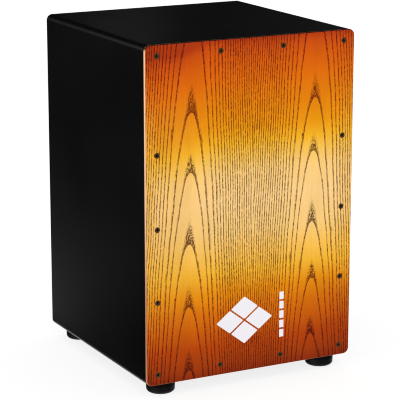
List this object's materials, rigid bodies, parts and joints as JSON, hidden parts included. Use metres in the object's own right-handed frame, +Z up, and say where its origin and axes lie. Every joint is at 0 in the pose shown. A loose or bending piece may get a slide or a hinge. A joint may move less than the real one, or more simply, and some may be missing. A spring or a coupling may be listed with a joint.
{
  "type": "cajon",
  "caption": "Seat-high box drum with a thin ash-faced playing panel, black box, rubber feet, rear sound hole and a turning snare bar inside.",
  "frame": {"origin": "on the floor, midway between the feet: the middle of the bottom of the bounding box", "axes": "+Z up, -Y towards the listener out of the playing panel, +X to the right when the playing panel is looked at"},
  "size_m": [0.302, 0.305, 0.457],
  "materials": {
    "ash_veneer": "lacquered ash veneer, pale amber in the middle and shaded to red-brown at the top and bottom",
    "black_lacquer": "satin black lacquer on MDF",
    "softwood": "planed and unfinished",
    "beech": "turned and sanded beech",
    "black_rubber": "moulded, matt",
    "screw_steel": "bronze-dark plated steel",
    "zinc_steel": "zinc plated",
    "snare_steel": "bright spring steel",
    "nylon": "natural nylon"
  },
  "bodies": {
    "box": {"playing_panel": "ash_veneer", "panel_screws": "screw_steel", "top_board": "black_lacquer", "bottom_board": "black_lacquer", "left_board": "black_lacquer", "right_board": "black_lacquer", "back_board": "black_lacquer", "top_rail": "softwood", "bottom_rail": "softwood", "left_stile": "softwood", "right_stile": "softwood", "corner_block_top_left": "softwood", "corner_block_top_right": "softwood", "corner_block_bottom_left": "softwood", "corner_block_bottom_right": "softwood", "foot_front_left": "black_rubber", "foot_front_right": "black_rubber", "foot_back_left": "black_rubber", "foot_back_right": "black_rubber", "foot_washers": "zinc_steel", "foot_screws": "zinc_steel", "bearing_block_left": "beech", "bearing_block_right": "beech", "bushing_left": "nylon", "bushing_right": "nylon", "block_screws": "zinc_steel"},
    "snare": {"snare_bar": "beech", "snare_lever": "beech", "snare_plate_left": "zinc_steel", "snare_plate_right": "zinc_steel", "snare_wires_left": "snare_steel", "snare_wires_right": "snare_steel", "plate_screws": "zinc_steel"}
  },
  "joints": [
    {"name": "snare_turn", "type": "hinge", "parent": "box", "child": "snare", "pos_m": [0, -0.118, 0.33], "axis": [-1, 0, 0], "range_deg": [0, 25]}
  ]
}
